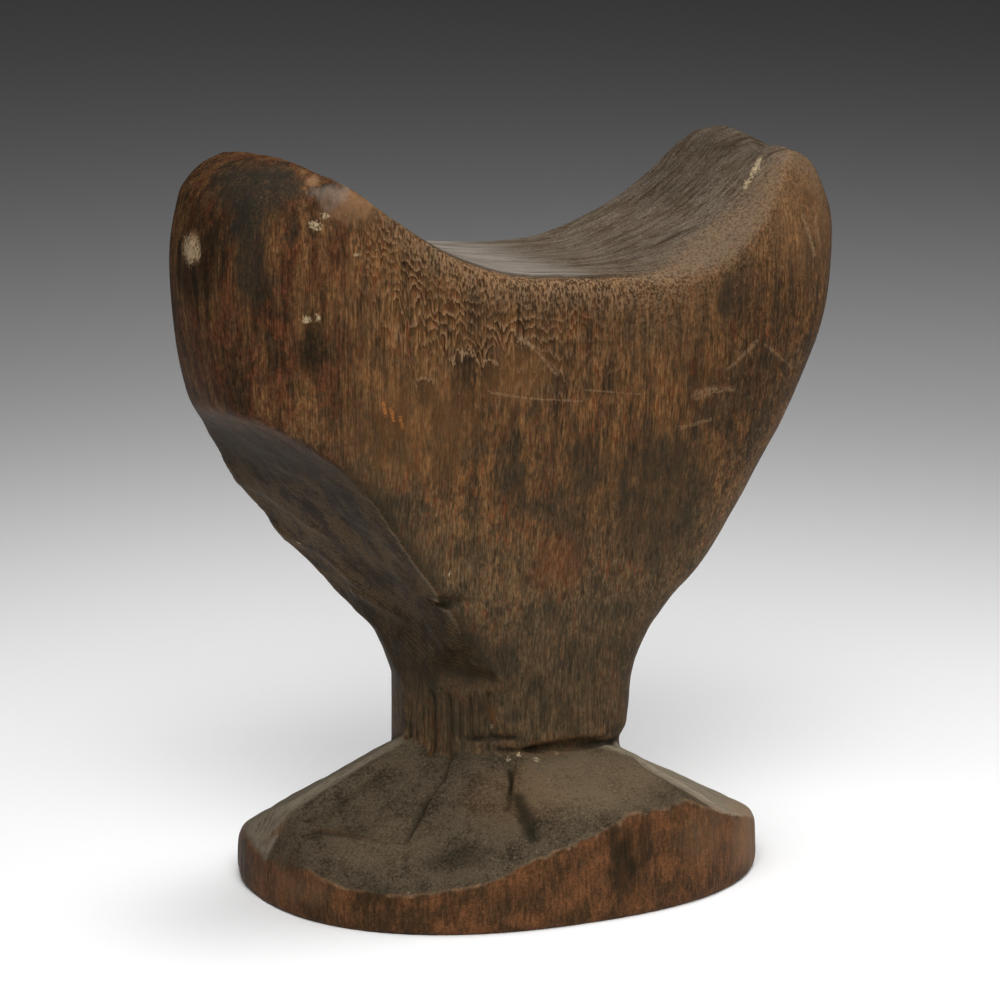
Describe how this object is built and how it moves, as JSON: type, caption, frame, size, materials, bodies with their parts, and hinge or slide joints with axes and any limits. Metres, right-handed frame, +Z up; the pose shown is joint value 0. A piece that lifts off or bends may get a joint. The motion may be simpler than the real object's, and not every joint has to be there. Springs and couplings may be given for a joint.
{
  "type": "carved headrest",
  "caption": "Headrest carved from one block of dark wood: flared head with a saddle-shaped top between rounded horns, short neck and low faceted foot.",
  "frame": {"origin": "centre of the foot's underside, under the middle of the object's box", "axes": "+Z up, +X along the saddle from the higher horn to the lower one, -Y towards the side the picture shows"},
  "size_m": [0.1666, 0.101, 0.1764],
  "materials": {
    "wood": "dark hand-rubbed hardwood, satin, with a grey polish in the saddle"
  },
  "bodies": {
    "root": {"headrest": "wood"}
  },
  "joints": []
}
